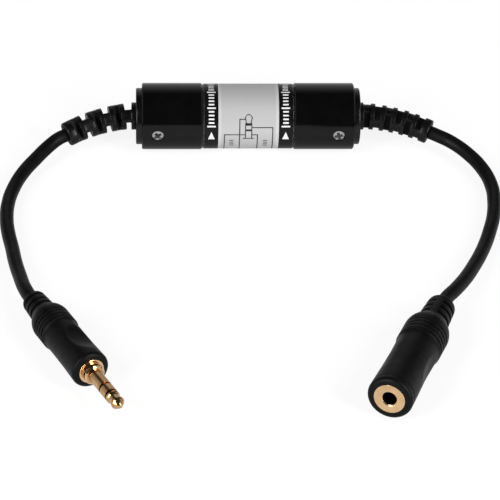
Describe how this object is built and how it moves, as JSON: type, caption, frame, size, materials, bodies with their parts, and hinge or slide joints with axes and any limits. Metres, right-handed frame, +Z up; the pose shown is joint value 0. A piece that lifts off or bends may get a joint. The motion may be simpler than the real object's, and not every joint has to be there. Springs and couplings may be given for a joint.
{
  "type": "ground loop isolator",
  "caption": "In-line ground loop isolator: a black barrel with a silver label, and on its two short leads a 3.5 mm stereo plug and a 3.5 mm line socket.",
  "frame": {"origin": "on the surface the part lies on, under the middle of the barrel", "axes": "+X along the barrel towards the lead with the socket, +Z up, both leads laid towards -Y"},
  "size_m": [0.1312, 0.1325, 0.018],
  "materials": {
    "barrel_black": "gloss black enamel",
    "sleeve_black": "satin black enamel",
    "label_foil": "satin silver foil with black bands",
    "end_plug_black": "moulded gloss black",
    "screw_plate": "bright plated steel",
    "moulded_black": "satin black flexible moulding",
    "lead_black": "satin black jacket",
    "gold_plate": "polished gold plate",
    "insulator_black": "moulded black",
    "board_green": "green solder mask on glass laminate",
    "core_steel": "stacked steel laminations",
    "former_cream": "cream nylon",
    "winding_copper": "enamelled copper wire",
    "tinned_pins": "tinned wire",
    "conductors": "coloured insulation"
  },
  "bodies": {
    "root": {"housing_tube": "sleeve_black", "label_wrap": "label_foil", "left_cap": "barrel_black", "right_cap": "barrel_black", "left_end_ring": "end_plug_black", "right_end_ring": "end_plug_black", "left_screw": "screw_plate", "right_screw": "screw_plate", "left_boot": "moulded_black", "right_boot": "moulded_black", "left_cable": "lead_black", "right_cable": "lead_black", "plug_grip": "moulded_black", "plug_sleeve_contact": "gold_plate", "plug_rear_insulator": "insulator_black", "plug_ring_contact": "gold_plate", "plug_front_insulator": "insulator_black", "plug_tip_contact": "gold_plate", "jack_grip": "moulded_black", "jack_bushing": "gold_plate", "jack_core": "insulator_black", "jack_tip_spring": "gold_plate", "jack_ring_spring": "gold_plate", "circuit_board": "board_green", "left_core": "core_steel", "right_core": "core_steel", "left_bobbin": "former_cream", "right_bobbin": "former_cream", "left_winding": "winding_copper", "right_winding": "winding_copper", "transformer_pins": "tinned_pins", "left_lead_wires": "conductors", "right_lead_wires": "conductors"}
  },
  "joints": []
}
